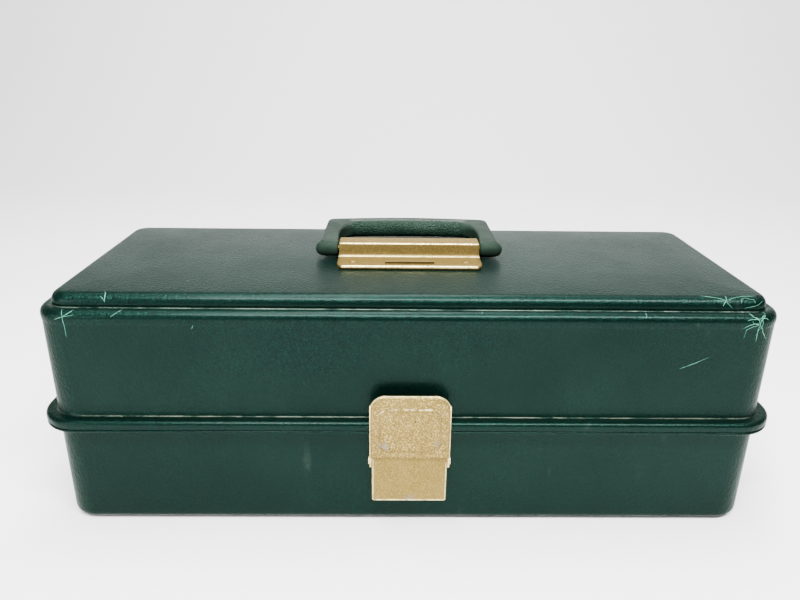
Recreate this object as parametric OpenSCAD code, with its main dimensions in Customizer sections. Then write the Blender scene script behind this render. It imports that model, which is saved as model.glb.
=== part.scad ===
// Hinged moulded box with two cantilever trays that rise as the lid opens.
// Origin: middle of the underside. X runs along the length, -Y is the front, +Z is up.

/* [Case] */
// Length of the case walls, without the rim
case_w = 414; // [380:1:440]
// Depth of the case walls, without the rim
case_d = 159.4; // [156:0.2:170]
// Radius of the vertical corners
corner_r = 17.6; // [15:0.2:22]
// Thickness of the moulded walls
wall = 2.5; // [2:0.1:2.8]
// Height of the line where the lid meets the base
part_z = 66.6; // [66:0.1:68]
// Height of the recessed foot under the base
foot_h = 3; // [2:0.5:4]

/* [Rim] */
// How far the rim stands out of the walls
rim_out = 6.8; // [6:0.1:7.2]
// Thickness of the lid's half of the rim
rim_lid_t = 5.5; // [5:0.1:6]
// Thickness of the base's half of the rim
rim_base_t = 2; // [1.8:0.1:2.4]

/* [Lid] */
// Height of the ledge round the top panel
ledge_z = 136.4; // [135.6:0.2:138]
// Height of the top panel
top_z = 144.7; // [144:0.1:147]
// Distance from the walls to the side of the top panel
panel_inset = 6.4; // [6:0.1:9]

/* [Trays] */
// Height of a tray
tray_h = 34; // [28:1:34]
// Length of a tray
tray_w = 392; // [360:1:392]
// Height of the lower tray's underside
lower_z = 62; // [62:1:62]
// Height of the upper tray's underside
upper_z = 98; // [98:1:98]
// Place of the trays' front faces
tray_front = -73.5; // [-73.5:0.5:-72]
// Place of the lower tray's back face
lower_back = 55; // [40:1:55]
// Place of the upper tray's back face
upper_back = 45; // [30:1:45]

/* [Latch] */
// Width of the latch lever
lever_w = 46; // [44:0.5:50]
// Height of the lever's pivot
lever_z = 46; // [45:0.5:46]

/* [Handle] */
// Distance between the inner faces of the handle's bosses
handle_gap = 89.4; // [89:0.2:90]
// Distance from the handle's pivot to the back of the grip
handle_reach = 56.4; // [50:0.2:60]

/* [Hidden] */
$fn = 48;

green = [0.10, 0.22, 0.19];
green_dark = [0.08, 0.13, 0.12];
gold = [0.74, 0.64, 0.42];
steel = [0.70, 0.71, 0.72];
tray_green = [0.30, 0.44, 0.38];

half_w = case_w / 2;
half_d = case_d / 2;
inner_x = half_w - wall;
arc_steps = 8;
rim_low = part_z - rim_base_t;
rim_top = part_z + rim_lid_t;
seam = 0.1;
roll_r = 4.8;
panel_r = 6;
floor_z = foot_h + wall;
foot_inset = 7;

// Hinge: three stations of five knuckles along the back of the rim
knuckle_r = 3.2;
hinge_y = half_d + rim_out + knuckle_r + 0.8;
hinge_pin_r = 1.5;
hinge_xs = [-140, 0, 140];
knuckle_l = 11;
knuckle_pitch = knuckle_l + 0.4;
hinge_fit = 0.08;

// Tray mechanism, all at the box's two ends
arm_z = 25;
front_arm_y = 34;
rear_arm_y = 57;
arm_lean = 50;
pivot_rise = 8;
arm_t = 1.6;
arm_x = 197.5;
arm_w = 10;
stud_r = 2.5;
rivet_r = 2;
head_r = 3.8;
run_fit = 0.06;
tray_wall = 2;
tray_floor = 1.8;
tray_r = 8;
lower_rise = lower_z + pivot_rise - arm_z;
upper_rise = upper_z + pivot_rise - arm_z;
lower_shift = -lower_rise * tan(arm_lean);
upper_shift = -upper_rise * tan(arm_lean);
plate_t = 1.5;
plate_x = inner_x - plate_t;

// Slotted link from the lid's end walls to the upper tray
link_lid = [52, 81];
link_tray = [2, 127];
link_x = 200.5;
link_t = 1.6;
link_w = 9;
slot_near = 62.4;
slot_far = 69.1;
slot_play = 0.3;
link_turn = atan2(link_tray[1] - link_lid[1], link_tray[0] - link_lid[0]);

// Latch on the front
lever_front = -89;
sheet = 1.1;
lever_low = 50.5;
lever_top = 90.2;
lever_y = -84;
channel_w = 43.6;
channel_front = -87.6;
channel_low = 20.6;
channel_top = 53;

// Handle and its bracket on the lid
axle_y = -3;
axle_z = 150.3;
axle_r = 2;
hump_h = 155.9;
hump_d = 12.9;
flange_z = 147.2;
flange_d = 53;
bracket_w = 89;
plate_gauge = 1.1;
grip_top = 156.7;
boss_r = 4.9;

// Points of a rounded rectangle, counter-clockwise
function outline(hx, hy, r) = [
    for (q = [0:3], s = [0:arc_steps])
        let (a = 90 * q + 90 * s / arc_steps,
             cx = (q == 0 || q == 3) ? hx - r : r - hx,
             cy = q < 2 ? hy - r : r - hy)
        [cx + r * cos(a), cy + r * sin(a)]];

// Points of a quarter circle in a wall profile of [inset, height] pairs
function quarter(centre, r, from, to, n) = [
    for (i = [0:n])
        let (a = from + (to - from) * i / n)
        [centre[0] + r * cos(a), centre[1] + r * sin(a)]];

module plate(hx, hy, r, h) {
    linear_extrude(h)
        polygon(outline(hx, hy, r));
}

// Closed solid whose walls follow a profile of [inset, height] pairs round the case
module moulded(profile) {
    n = 4 * (arc_steps + 1);
    rows = len(profile);
    points = [
        for (p = profile, q = outline(half_w - p[0], half_d - p[0], max(1, corner_r - p[0])))
            [q[0], q[1], p[1]]];
    sides = [
        for (k = [0:rows - 2], i = [0:n - 1])
            [k * n + i, (k + 1) * n + i, (k + 1) * n + (i + 1) % n, k * n + (i + 1) % n]];
    low = [for (i = [0:n - 1]) i];
    high = [for (i = [0:n - 1]) rows * n - 1 - i];
    polyhedron(points, concat([low], sides, [high]), convexity = 6);
}

// Cylinder along X from x0 to x1 at a place in the end view
module rod(x0, x1, at, r) {
    translate([x0, at[0], at[1]])
        rotate([0, 90, 0])
            cylinder(h = x1 - x0, r = r);
}

module both_ends() {
    children();
    mirror([1, 0, 0])
        children();
}

// Flat bar in the end view with round ends, from x0, t thick
module bar(x0, t, a, b, w) {
    translate([x0, 0, 0])
        rotate([90, 0, 90])
            linear_extrude(t)
                hull() {
                    translate(a) circle(d = w);
                    translate(b) circle(d = w);
                }
}

// Round-headed fastener along X: shank, and a flat head at each end
module fastener(at, x0, x1, shank_r, low_head, high_head) {
    rod(x0, x1, at, shank_r);
    rod(x0 - low_head, x0, at, head_r);
    rod(x1, x1 + high_head, at, head_r);
}

// Knuckles of one half of the hinge, with the web that joins them to the rim
module knuckles(first, web_low, web_high) {
    for (hx = hinge_xs, k = [first:2:2])
        translate([hx + k * knuckle_pitch - knuckle_l / 2, 0, 0]) {
            rod(0, knuckle_l, [hinge_y, part_z], knuckle_r);
            translate([0, half_d + rim_out - 2, web_low])
                cube([knuckle_l, hinge_y - half_d - rim_out + 2, web_high - web_low]);
        }
}

module knuckle_bores(first, r) {
    for (hx = hinge_xs, k = [first:2:2])
        rod(hx + k * knuckle_pitch - knuckle_l / 2 - 1, hx + k * knuckle_pitch + knuckle_l / 2 + 1,
            [hinge_y, part_z], r);
}

// Base: outer walls on a recessed foot, with the thin lower half of the rim
module base_shell() {
    outer = concat(
        [[foot_inset, 0], [foot_inset, foot_h], [1.2, foot_h]],
        [[0, foot_h + 1.6], [0, rim_low - 0.8], [-rim_out + 1.4, rim_low]],
        [[-rim_out + 0.6, rim_low + 0.7], [-rim_out + 0.6, part_z - seam], [0, part_z - seam]]);
    inner = [[foot_inset + wall, wall], [foot_inset + wall, floor_z], [wall + 1, floor_z + 0.6],
        [wall, floor_z + 3], [wall, part_z + 1]];
    color(green)
        difference() {
            union() {
                moulded(outer);
                knuckles(-2, part_z - knuckle_r, part_z);
            }
            moulded(inner);
            knuckle_bores(-2, hinge_pin_r);
            base_rivet_holes();
        }
}

module base_rivet_holes() {
    both_ends()
        for (p = base_rivets)
            rod(inner_x - 1, half_w + 1, p, rivet_r);
    for (z = channel_rivets)
        translate([0, -half_d - 1, z])
            rotate([-90, 0, 0])
                cylinder(h = wall + 2, r = 1.6);
}

// Lid: thick upper half of the rim, tall walls, rolled shoulder and raised top panel
module lid_shell() {
    outer = concat(
        [[-rim_out + 1, part_z + seam]],
        quarter([-rim_out + 2.4, part_z + 2.4], 2.4, 225, 180, 2),
        quarter([-rim_out + 2.4, rim_top - 2.4], 2.4, 180, 90, 5),
        [[0, rim_top]],
        quarter([roll_r, ledge_z - roll_r], roll_r, 180, 90, 6),
        [[panel_inset - 0.8, ledge_z - 0.3], [panel_inset, ledge_z - 0.3]],
        quarter([panel_inset + panel_r, top_z - panel_r], panel_r, 180, 90, 6));
    inner = [[wall, part_z - 1], [wall, ledge_z - roll_r - 1], [wall + 1.4, ledge_z - 4.4],
        [wall + 5, ledge_z - wall], [panel_inset + wall, ledge_z - wall + 1],
        [panel_inset + wall, top_z - wall - 3], [panel_inset + wall + 3, top_z - wall]];
    color(green)
        difference() {
            union() {
                moulded(outer);
                knuckles(-1, part_z + seam, part_z + knuckle_r);
            }
            moulded(inner);
            knuckle_bores(-1, hinge_pin_r + hinge_fit);
            lid_rivet_holes();
        }
}

module lid_rivet_holes() {
    both_ends()
        for (p = link_rivets)
            rod(inner_x - 1, half_w + 1, p, rivet_r);
    for (x = keeper_xs)
        translate([x, -half_d - 1, keeper_z])
            rotate([-90, 0, 0])
                cylinder(h = wall + 2, r = 1.6);
    for (p = bracket_rivet_places)
        translate([p[0], p[1], top_z - wall - 1])
            cylinder(h = wall + 2, r = rivet_r);
}

// Steel wires that join the knuckles of each hinge station
module hinge_pins() {
    reach = 2.5 * knuckle_pitch;
    color(steel)
        for (hx = hinge_xs)
            rod(hx - reach, hx + reach, [hinge_y, part_z], hinge_pin_r);
}

bracket_rivet_places = [for (x = [-34.8, 34.8], y = [-20.6, 14.6]) [x, y]];

// Hollow pressed plate: flanges front and back of a hump that holds the axle
module handle_bracket() {
    color(gold)
        difference() {
            union() {
                translate([0, axle_y, top_z])
                    plate(bracket_w / 2, flange_d / 2, 4, flange_z - top_z);
                hump(bracket_w / 2, hump_d / 2, hump_h);
                translate([0, axle_y - 18.5, flange_z])
                    plate(15, 3, 1.2, 0.8);
            }
            hump(bracket_w / 2 - plate_gauge, hump_d / 2 - plate_gauge, hump_h - plate_gauge);
            for (side = [-1, 1])
                translate([0, axle_y + side * (flange_d + hump_d) / 4, top_z - 1])
                    plate(bracket_w / 2 - 8, (flange_d - hump_d) / 4 - 2.4, 2,
                        flange_z - top_z + 1 - plate_gauge);
            rod(-bracket_w, bracket_w, [axle_y, axle_z], axle_r);
            for (p = bracket_rivet_places)
                translate([p[0], p[1], top_z - 1])
                    cylinder(h = 5, r = rivet_r);
        }
}

module hump(hx, hy, high) {
    round = 1.6;
    translate([-hx, axle_y, 0])
        rotate([90, 0, 90])
            linear_extrude(2 * hx)
                polygon(concat(
                    [[-hy, top_z], [hy, top_z]],
                    quarter([hy - round, high - round], round, 0, 90, 4),
                    quarter([round - hy, high - round], round, 90, 180, 4)));
}

// Four tubular rivets that hold the handle's bracket down
module bracket_rivets() {
    color(gold)
        for (p = bracket_rivet_places)
            translate([p[0], p[1], top_z - wall - 1.2]) {
                cylinder(h = 1.2, r = head_r);
                cylinder(h = wall + flange_z - top_z + 1.2, r = rivet_r);
                translate([0, 0, wall + flange_z - top_z + 1.2])
                    cylinder(h = 0.8, r1 = 3, r2 = 2.2);
            }
}

module handle_axle() {
    color(steel)
        rod(-handle_gap / 2 - 9, handle_gap / 2 + 9, [axle_y, axle_z], axle_r);
}

// Carry handle, folded back: two bullet-shaped bosses, two legs and the grip
module handle() {
    back_y = axle_y + handle_reach;
    grip_z = grip_top - 5.2;
    leg_x = handle_gap / 2 + 5.6;
    color(green_dark)
        difference() {
            union() {
                both_ends()
                    translate([handle_gap / 2, axle_y, axle_z])
                        rotate([0, 90, 0])
                            rotate_extrude()
                                polygon([[0, 0], [boss_r, 0], [boss_r, 9], [4.4, 12], [3, 14], [0, 14.8]]);
                both_ends()
                    hull() {
                        translate([leg_x, axle_y, axle_z]) sphere(r = 4.6, $fn = 32);
                        translate([leg_x - 1, back_y - 13, grip_z]) sphere(r = 5, $fn = 32);
                    }
                both_ends()
                    hull() {
                        translate([leg_x - 1, back_y - 13, grip_z]) sphere(r = 5, $fn = 32);
                        translate([leg_x - 6, back_y - 8, grip_z]) sphere(r = 5.2, $fn = 32);
                    }
                hull() {
                    both_ends()
                        translate([leg_x - 6, back_y - 8, grip_z]) sphere(r = 5.2, $fn = 32);
                    translate([0, back_y - 5.4, grip_z]) sphere(r = 5.4, $fn = 32);
                    both_ends()
                        translate([leg_x - 12, back_y - 10.5, grip_z]) sphere(r = 5.2, $fn = 32);
                }
            }
            both_ends()
                rod(handle_gap / 2 - 1, handle_gap / 2 + 9.2, [axle_y, axle_z], axle_r + run_fit);
            both_ends()
                rod(handle_gap / 2 - 4, handle_gap / 2, [axle_y, axle_z], 9);
        }
}

channel_rivets = [28, 38];

// Folded sheet channel on the base's front wall that carries the lever
module latch_bracket() {
    depth = -half_d - channel_front;
    tall = channel_top - channel_low;
    color(gold)
        difference() {
            translate([-channel_w / 2, channel_front, channel_low])
                cube([channel_w, depth, tall]);
            translate([-channel_w / 2 + sheet, channel_front + sheet, channel_low - 1])
                cube([channel_w - 2 * sheet, depth - 2 * sheet, tall + 2]);
            rod(-channel_w, channel_w, [lever_y, lever_z], 1.5);
            for (z = channel_rivets)
                translate([0, -half_d - 2 * sheet, z])
                    rotate([-90, 0, 0])
                        cylinder(h = 3 * sheet, r = 1.6);
        }
}

module wall_rivet(at, stack) {
    translate(at)
        rotate([-90, 0, 0]) {
            translate([0, 0, -0.8])
                cylinder(h = 0.8, r = 3);
            cylinder(h = stack, r = 1.6);
            translate([0, 0, stack])
                cylinder(h = 1, r = 3);
        }
}

module latch_bracket_rivets() {
    color(steel)
        for (z = channel_rivets)
            wall_rivet([0, -half_d - sheet, z], wall + sheet);
}

module latch_pin() {
    color(steel)
        union() {
            rod(-lever_w / 2 - 0.1, lever_w / 2 + 0.1, [lever_y, lever_z], 1.5);
            both_ends()
                rod(lever_w / 2 + 0.1, lever_w / 2 + 0.8, [lever_y, lever_z], 2.2);
        }
}

// Pressed cover that swings out on its two ears
module latch_lever() {
    color(gold)
        difference() {
            union() {
                translate([0, lever_front + sheet, lever_low])
                    rotate([90, 0, 0])
                        linear_extrude(sheet)
                            lever_face();
                translate([0, lever_front, (lever_low + lever_top) / 2 - 0.5])
                    rotate([90, 0, 0])
                        plate(15.4, 11, 4, 0.7);
                both_ends()
                    translate([lever_w / 2 - 1, 0, 0])
                        rotate([90, 0, 90])
                            linear_extrude(1)
                                lever_side();
            }
            rod(-lever_w, lever_w, [lever_y, lever_z], 1.5 + run_fit);
        }
}

module lever_face() {
    tall = lever_top - lever_low;
    round = 9;
    half = lever_w / 2;
    polygon(concat(
        [[-half, 0], [half, 0]],
        quarter([half - round, tall - round], round, 0, 90, 8),
        quarter([round - half, tall - round], round, 90, 180, 8)));
}

// Ear in the end view: round at the pivot, deep below the rim and shallow beside it
module lever_side() {
    ear_r = 3.8;
    union() {
        translate([lever_y, lever_z])
            circle(r = ear_r);
        polygon([[lever_y - ear_r, lever_z], [lever_y + ear_r, lever_z], [-81.6, 60], [-84, 63],
            [-87.2, 64], [-87.2, lever_top - 10], [lever_front, lever_top - 9],
            [lever_front, lever_low], [lever_y - ear_r, lever_low - 1.5]]);
    }
}

// Catch strip inside the lever; its lip stops just clear of the rim
module latch_hook() {
    back = lever_front + sheet;
    color(steel)
        translate([-12, back, 56]) {
            cube([24, 0.8, 18]);
            translate([0, 0, 16.8])
                cube([24, 1.1, 1.2]);
        }
}

keeper_low = 73.4;
keeper_w = 26;
keeper_h = 12;
keeper_lip = 6.4;
keeper_z = 81;
keeper_xs = [-8, 8];

// Plate on the lid's front wall that the catch draws on
module keeper_plate() {
    color(steel)
        difference() {
            union() {
                translate([-keeper_w / 2, -half_d - sheet, keeper_low])
                    cube([keeper_w, sheet, keeper_h]);
                translate([-keeper_w / 2, -half_d - keeper_lip, keeper_low])
                    cube([keeper_w, keeper_lip, sheet]);
            }
            for (x = keeper_xs)
                translate([x, -half_d - 2 * sheet, keeper_z])
                    rotate([-90, 0, 0])
                        cylinder(h = 3 * sheet, r = 1.6);
        }
}

module keeper_rivets() {
    color(steel)
        for (x = keeper_xs)
            wall_rivet([x, -half_d - sheet, keeper_z], wall + sheet);
}

base_rivets = [[45.5, 33], [45.5, 15]];
link_rivets = [[43.5, 91], [55.5, 91]];

// Plate inside each end wall of the base that carries the arms' lower pivots
module arm_bracket() {
    color(steel)
        difference() {
            hull()
                for (y = [front_arm_y - 3, rear_arm_y - 1], z = [15, 33])
                    rod(plate_x, inner_x, [y, z], 5);
            for (y = [front_arm_y, rear_arm_y])
                rod(plate_x - 1, inner_x + 1, [y, arm_z], stud_r);
            for (p = base_rivets)
                rod(plate_x - 1, inner_x + 1, p, rivet_r);
        }
}

module arm_bracket_left() {
    mirror([1, 0, 0])
        arm_bracket();
}

module arm_bracket_right() {
    arm_bracket();
}

module arm_bracket_rivets() {
    color(gold)
        both_ends()
            for (p = base_rivets)
                fastener(p, plate_x, half_w, rivet_r, 0.8, 1.2);
}

// Shouldered studs that the arms turn on at the base
module arm_pivot_studs() {
    color(steel)
        both_ends()
            for (y = [front_arm_y, rear_arm_y]) {
                rod(arm_x - 0.2, inner_x, [y, arm_z], stud_r);
                rod(arm_x - 1.2, arm_x - 0.2, [y, arm_z], 4);
                rod(arm_x + arm_t + 0.2, plate_x, [y, arm_z], 4);
            }
}

// Arm from the base pivot past the lower tray's pivot to the upper tray's pivot
module arm(base_y) {
    foot = [base_y, arm_z];
    mid = [base_y + lower_shift, arm_z + lower_rise];
    tip = [base_y + upper_shift, arm_z + upper_rise];
    color(steel)
        difference() {
            bar(arm_x, arm_t, foot, tip, arm_w);
            rod(arm_x - 1, arm_x + arm_t + 1, foot, stud_r + run_fit);
            rod(arm_x - 1, arm_x + arm_t + 1, mid, rivet_r + run_fit);
            rod(arm_x - 1, arm_x + arm_t + 1, tip, rivet_r + run_fit);
        }
}

module front_arm_left() {
    mirror([1, 0, 0])
        arm(front_arm_y);
}

module front_arm_right() {
    arm(front_arm_y);
}

module rear_arm_left() {
    mirror([1, 0, 0])
        arm(rear_arm_y);
}

module rear_arm_right() {
    arm(rear_arm_y);
}

// Moulded tray with a front and a back row of compartments
module tray(low, back, front_row, back_row, split) {
    hx = tray_w / 2;
    hy = (back - tray_front) / 2;
    mid_y = (back + tray_front) / 2;
    divider = 1.6;
    split_y = tray_front + split;
    difference() {
        translate([0, mid_y, low])
            plate(hx, hy, tray_r, tray_h);
        tray_row(low, front_row, tray_front + tray_wall, split_y - divider / 2, divider);
        tray_row(low, back_row, split_y + divider / 2, back - tray_wall, divider);
    }
}

module tray_row(low, count, y0, y1, divider) {
    span = tray_w - 2 * tray_wall;
    pitch = (span + divider) / count;
    for (i = [0:count - 1])
        translate([-span / 2 + i * pitch + (pitch - divider) / 2, (y0 + y1) / 2, low + tray_floor])
            plate((pitch - divider) / 2, (y1 - y0) / 2, tray_r - tray_wall, tray_h);
}

module tray_holes(rise, shift) {
    both_ends()
        for (y = [front_arm_y, rear_arm_y])
            rod(tray_w / 2 - 4, tray_w / 2 + 1, [y + shift, arm_z + rise], rivet_r);
}

module tray_rivets(rise, shift) {
    inside = tray_w / 2 - tray_wall;
    color(steel)
        both_ends()
            for (y = [front_arm_y, rear_arm_y]) {
                at = [y + shift, arm_z + rise];
                rod(inside - 1, inside, at, head_r);
                rod(inside, arm_x + arm_t + 0.2, at, rivet_r);
                rod(tray_w / 2, arm_x - 0.2, at, 3.4);
                rod(arm_x + arm_t + 0.2, arm_x + arm_t + 1, at, 3.4);
            }
}

module lower_tray() {
    color(tray_green)
        difference() {
            tray(lower_z, lower_back, 4, 3, 64);
            tray_holes(lower_rise, lower_shift);
        }
}

module lower_tray_rivets() {
    tray_rivets(lower_rise, lower_shift);
}

module upper_tray() {
    color(tray_green)
        difference() {
            tray(upper_z, upper_back, 6, 4, 52);
            tray_holes(upper_rise, upper_shift);
            both_ends()
                rod(tray_w / 2 - 4, tray_w / 2 + 1, link_tray, rivet_r);
        }
}

module upper_tray_rivets() {
    tray_rivets(upper_rise, upper_shift);
}

// Studs on the upper tray that ride in the links' slots
module upper_tray_link_studs() {
    inside = tray_w / 2 - tray_wall;
    color(steel)
        both_ends() {
            rod(inside - 1, inside, link_tray, head_r - 0.2);
            rod(inside, link_x + link_t + 0.2, link_tray, rivet_r);
            rod(tray_w / 2, link_x - 0.2, link_tray, 3.4);
            rod(link_x + link_t + 0.2, link_x + link_t + 0.8, link_tray, 3.4);
        }
}

// Plate inside each end wall of the lid that carries a link
module link_bracket() {
    color(steel)
        difference() {
            hull()
                for (y = [-9, 4], z = [0, 10])
                    rod(plate_x, inner_x, link_lid + [y, z], 5);
            rod(plate_x - 1, inner_x + 1, link_lid, stud_r);
            for (p = link_rivets)
                rod(plate_x - 1, inner_x + 1, p, rivet_r);
        }
}

module link_bracket_left() {
    mirror([1, 0, 0])
        link_bracket();
}

module link_bracket_right() {
    link_bracket();
}

module link_bracket_rivets() {
    color(gold)
        both_ends()
            for (p = link_rivets)
                fastener(p, plate_x, half_w, rivet_r, 0.6, 1.2);
}

// Link with a round hole at the lid and a slot at the upper tray
module lid_link() {
    far = link_lid + (slot_far + 0.5) * [cos(link_turn), sin(link_turn)];
    color(steel)
        difference() {
            bar(link_x, link_t, link_lid, far, link_w);
            rod(link_x - 1, link_x + link_t + 1, link_lid, stud_r + run_fit);
            translate([link_x - 1, link_lid[0], link_lid[1]])
                rotate([link_turn, 0, 0])
                    union() {
                        rod(0, link_t + 2, [slot_near, 0], rivet_r + slot_play);
                        rod(0, link_t + 2, [slot_far, 0], rivet_r + slot_play);
                        translate([0, slot_near, -rivet_r - slot_play])
                            cube([link_t + 2, slot_far - slot_near, 2 * (rivet_r + slot_play)]);
                    }
        }
}

module lid_link_left() {
    mirror([1, 0, 0])
        lid_link();
}

module lid_link_right() {
    lid_link();
}

// Shouldered studs that the links turn on at the lid
module lid_link_studs() {
    color(steel)
        both_ends() {
            rod(link_x - 0.2, inner_x, link_lid, stud_r);
            rod(link_x - 0.8, link_x - 0.2, link_lid, 3.8);
            rod(link_x + link_t + 0.2, plate_x, link_lid, 3.8);
        }
}

base_shell();
lid_shell();
hinge_pins();
handle_bracket();
bracket_rivets();
handle_axle();
handle();
latch_bracket();
latch_bracket_rivets();
latch_pin();
latch_lever();
latch_hook();
keeper_plate();
keeper_rivets();
arm_bracket_left();
arm_bracket_right();
arm_bracket_rivets();
arm_pivot_studs();
front_arm_left();
front_arm_right();
rear_arm_left();
rear_arm_right();
lower_tray();
lower_tray_rivets();
upper_tray();
upper_tray_rivets();
upper_tray_link_studs();
link_bracket_left();
link_bracket_right();
link_bracket_rivets();
lid_link_left();
lid_link_right();
lid_link_studs();
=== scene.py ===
import math
import random

import bmesh
import bpy
from mathutils import Matrix, Vector, noise


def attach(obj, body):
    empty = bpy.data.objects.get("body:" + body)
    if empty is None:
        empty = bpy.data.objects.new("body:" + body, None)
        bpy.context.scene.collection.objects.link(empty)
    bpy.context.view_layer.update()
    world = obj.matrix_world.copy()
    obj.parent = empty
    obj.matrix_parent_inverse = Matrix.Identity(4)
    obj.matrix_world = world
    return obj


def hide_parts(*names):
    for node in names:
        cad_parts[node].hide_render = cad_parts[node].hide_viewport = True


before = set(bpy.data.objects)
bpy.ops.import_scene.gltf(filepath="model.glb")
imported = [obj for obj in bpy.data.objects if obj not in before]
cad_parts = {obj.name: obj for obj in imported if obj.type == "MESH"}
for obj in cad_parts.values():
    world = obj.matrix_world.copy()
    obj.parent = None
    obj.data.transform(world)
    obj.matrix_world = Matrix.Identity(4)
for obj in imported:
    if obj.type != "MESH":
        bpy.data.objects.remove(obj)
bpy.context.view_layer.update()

MM = 0.001

# ---------------------------------------------------------------- sizes, in millimetres

# The case walls: half sizes, corner radius and thickness.
CASE_HALF_W = 207.0
CASE_HALF_D = 79.7
CORNER_R = 17.6
WALL = 2.5

# The parting plane, and the rim that stands out round the case there.
PART_Z = 66.6
RIM_OUT = 6.8
RIM_TOP = 72.1

# The lid's top: the ledge above its roll, then the raised panel, crowned from its edge.
LEDGE_Z = 136.4
ROLL_R = 4.8
PANEL_INSET = 6.4
PANEL_R = 6.0
EDGE_Z = 143.9
TOP_Z = 144.7
LID_INSIDE_Z = 142.2

# Steps round the case's outline.
CORNER_STEPS = 14
LONG_STEPS = 46
SHORT_STEPS = 18

HINGE_XS = (-140.0, 0.0, 140.0)
HINGE_Y = 90.5
KNUCKLE_R = 3.2
KNUCKLE_L = 11.0
KNUCKLE_PITCH = 11.4

# The handle's axle, its grip, and the bracket over it with a blank bar on the front flange.
AXLE_Y = -3.0
AXLE_Z = 150.3
GRIP_HALF_W = 38.0
GRIP_Y = 37.0
BRACKET_HALF_W = 44.6
BRACKET_HALF_D = 26.5
FLANGE_Z = 147.2
HUMP_Z = 155.95
RIVET_X = 34.8
RIVET_Y = 17.6
BAR_HALF_W = 15.0
BAR_FRONT_Y = -24.8
BAR_BACK_Y = -19.2
BAR_TOP = 148.7

# The latch: its pivot, the cover and the cover's pad, and the channel below.
LATCH_Y = -84.0
LATCH_Z = 46.0
COVER_Y = -89.0
LEVER_LOW = 50.5
LEVER_TOP = 90.2
LEVER_HALF_W = 23.0
LEVER_CORNER_R = 9.4
PAD_Z = 68.7
PAD_HALF_W = 17.2
PAD_HALF_H = 13.6
PAD_R = 5.0
CHANNEL_Y = -87.6
CHANNEL_HALF_W = 21.8
CHANNEL_LOW = 20.6
CHANNEL_TOP = 53.0


# ---------------------------------------------------------------- mesh helpers

def new_piece(name, verts, faces, body, material, replaced=()):
    """A mesh piece from millimetre points, riding on a CAD body."""
    mesh = bpy.data.meshes.new(name)
    mesh.from_pydata([Vector(v) * MM for v in verts], [], faces)
    bm = bmesh.new()
    bm.from_mesh(mesh)
    bmesh.ops.remove_doubles(bm, verts=bm.verts, dist=1e-7)
    bmesh.ops.recalc_face_normals(bm, faces=bm.faces)
    bm.to_mesh(mesh)
    bm.free()
    for polygon in mesh.polygons:
        polygon.use_smooth = True
    piece = bpy.data.objects.new(name, mesh)
    bpy.context.scene.collection.objects.link(piece)
    mesh.materials.append(material)
    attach(piece, body)
    if replaced:
        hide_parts(*replaced)
    return piece


def bevel(piece, width, segments=3, angle=35):
    """Rounds a piece's edges, with shading that stays crisp on the flats."""
    m = piece.modifiers.new("bevel", "BEVEL")
    m.width = width * MM
    m.segments = segments
    m.limit_method = "ANGLE"
    m.angle_limit = math.radians(angle)
    m.harden_normals = True
    return piece


def arc(cx, cz, r, start, end, steps):
    """Points of an arc about (cx, cz), from one angle to another in degrees."""
    out = []
    for i in range(steps + 1):
        a = math.radians(start + (end - start) * i / steps)
        out.append((cx + r * math.cos(a), cz + r * math.sin(a)))
    return out


def steps_between(p, q, count):
    """Points strictly between two profile points."""
    return [
        (p[0] + (q[0] - p[0]) * i / count, p[1] + (q[1] - p[1]) * i / count)
        for i in range(1, count)
    ]


def outline(inset):
    """Rounded rectangle round the case, with the same number of points at every inset."""
    hx, hy = CASE_HALF_W - inset, CASE_HALF_D - inset
    r = max(1.5, CORNER_R - inset)
    cx, cy = hx - r, hy - r
    corners = ((cx, cy, 0), (-cx, cy, 90), (-cx, -cy, 180), (cx, -cy, 270))
    arcs = [arc(x, y, r, start, start + 90, CORNER_STEPS) for x, y, start in corners]
    points = []
    for k, corner in enumerate(arcs):
        ahead = arcs[(k + 1) % 4][0]
        points += corner + steps_between(corner[-1], ahead, LONG_STEPS if k % 2 == 0 else SHORT_STEPS)
    return points


def wavy(x, y, z):
    """A point moved out or in a little, as moulded walls are never quite flat."""
    place = Vector((x, y, z))
    return place + Vector((x, y, 0)).normalized() * 0.12 * noise.noise(place * 0.021)


def lofted(rings):
    """Vertices and faces of a body through rings of equal length, closed at both ends."""
    verts = [point for ring in rings for point in ring]
    n = len(rings[0])
    faces = []
    for a in range(0, len(verts) - n, n):
        for i in range(n):
            j = (i + 1) % n
            faces.append((a + i, a + j, a + n + j, a + n + i))
    faces += [tuple(range(n)), tuple(range(len(verts) - n, len(verts)))]
    return verts, faces


def shell_rings(profile):
    """Rings round the case that follow a profile of (inset, height)."""
    return [[wavy(x, y, z) for x, y in outline(inset)] for inset, z in profile]


class Skin:
    """Places on a moulded shell, by profile row and by step round the outline.

    Marks drawn on it stay between the rows first and last.
    """

    def __init__(self, profile, first, last):
        self.first, self.last = first, last
        self.rings = shell_rings(profile)

    def point(self, row, turn):
        k = max(0, min(int(row), len(self.rings) - 2))
        low, high = self.rings[k], self.rings[k + 1]
        n = len(low)
        i = int(math.floor(turn))
        g = turn - i
        near = low[i % n].lerp(low[(i + 1) % n], g)
        far = high[i % n].lerp(high[(i + 1) % n], g)
        return near.lerp(far, row - k)

    def normal(self, row, turn):
        along = self.point(row, turn + 0.3) - self.point(row, turn - 0.3)
        up = self.point(row + 0.3, turn) - self.point(row - 0.3, turn)
        out = along.cross(up).normalized()
        return out if out.dot(self.point(row, turn) - Vector((0, 0, 60))) > 0 else -out


def lathe_x(x_r, centre, steps=32):
    """Solid of revolution about an axis along X, from (x, radius) pairs."""
    circle = [2 * math.pi * i / steps for i in range(steps)]
    return lofted([[(x, centre[0] + r * math.cos(a), centre[1] + r * math.sin(a)) for a in circle]
                   for x, r in x_r])


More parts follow.
